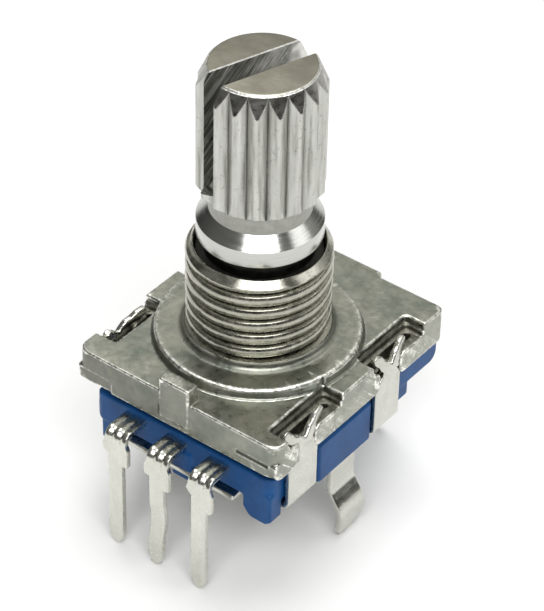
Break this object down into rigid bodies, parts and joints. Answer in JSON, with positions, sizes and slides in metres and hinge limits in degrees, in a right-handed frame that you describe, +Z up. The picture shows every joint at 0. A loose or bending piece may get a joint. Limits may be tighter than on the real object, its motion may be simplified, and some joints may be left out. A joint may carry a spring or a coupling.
{
  "type": "rotary encoder",
  "caption": "Rotary encoder with a knurled split shaft, a threaded bush on a die-cast plate, a blue moulded body in a metal bracket, solder terminals and a push switch.",
  "frame": {"origin": "on the shaft's axis, at the underside of the mounting bracket's bottom plate", "axes": "+Z up along the shaft, -Y towards the three encoder terminals, +X to the right seen from that side"},
  "size_m": [0.0118, 0.0151, 0.0247],
  "materials": {
    "nickel_shaft": "bright satin nickel",
    "zinc_casting": "as-cast zinc, semi-matte with bright worn edges",
    "tinned_steel": "bright tin plate",
    "silvered_terminal": "pale silver plate",
    "spring_bronze": "phosphor bronze",
    "spring_steel": "spring steel",
    "blue_plastic": "moulded blue, semi-matte",
    "black_plastic": "moulded black"
  },
  "bodies": {
    "body": {"bushing_frame": "zinc_casting", "click_spring": "spring_steel", "contact_housing": "blue_plastic", "switch_base": "blue_plastic", "mounting_bracket": "tinned_steel", "terminal_a": "silvered_terminal", "terminal_c": "silvered_terminal", "terminal_b": "silvered_terminal", "brush_a": "spring_bronze", "brush_c": "spring_bronze", "brush_b": "spring_bronze", "snap_dome": "spring_steel", "switch_terminal_d": "silvered_terminal", "switch_terminal_e": "silvered_terminal"},
    "rotor": {"rotor_hub": "black_plastic", "code_disc": "spring_bronze"},
    "shaft": {"shaft": "nickel_shaft", "retaining_ring": "spring_steel"},
    "plunger": {"push_plunger": "black_plastic"}
  },
  "joints": [
    {"name": "shaft_spin", "type": "hinge", "parent": "body", "child": "rotor", "pos_m": [0, 0, 0.0025], "axis": [0, 0, 1], "continuous": true},
    {"name": "shaft_push", "type": "slide", "parent": "rotor", "child": "shaft", "axis": [0, 0, -1], "range_m": [0, 0.0005], "stiffness_N_per_m": 5000, "springref_m": -0.0005, "deforming": ["snap_dome"]},
    {"name": "plunger_push", "type": "slide", "parent": "body", "child": "plunger", "axis": [0, 0, -1], "range_m": [0, 0.0005]}
  ],
  "couplings": [
    {"joint": "plunger_push", "follows": "shaft_push", "ratio": 1}
  ]
}
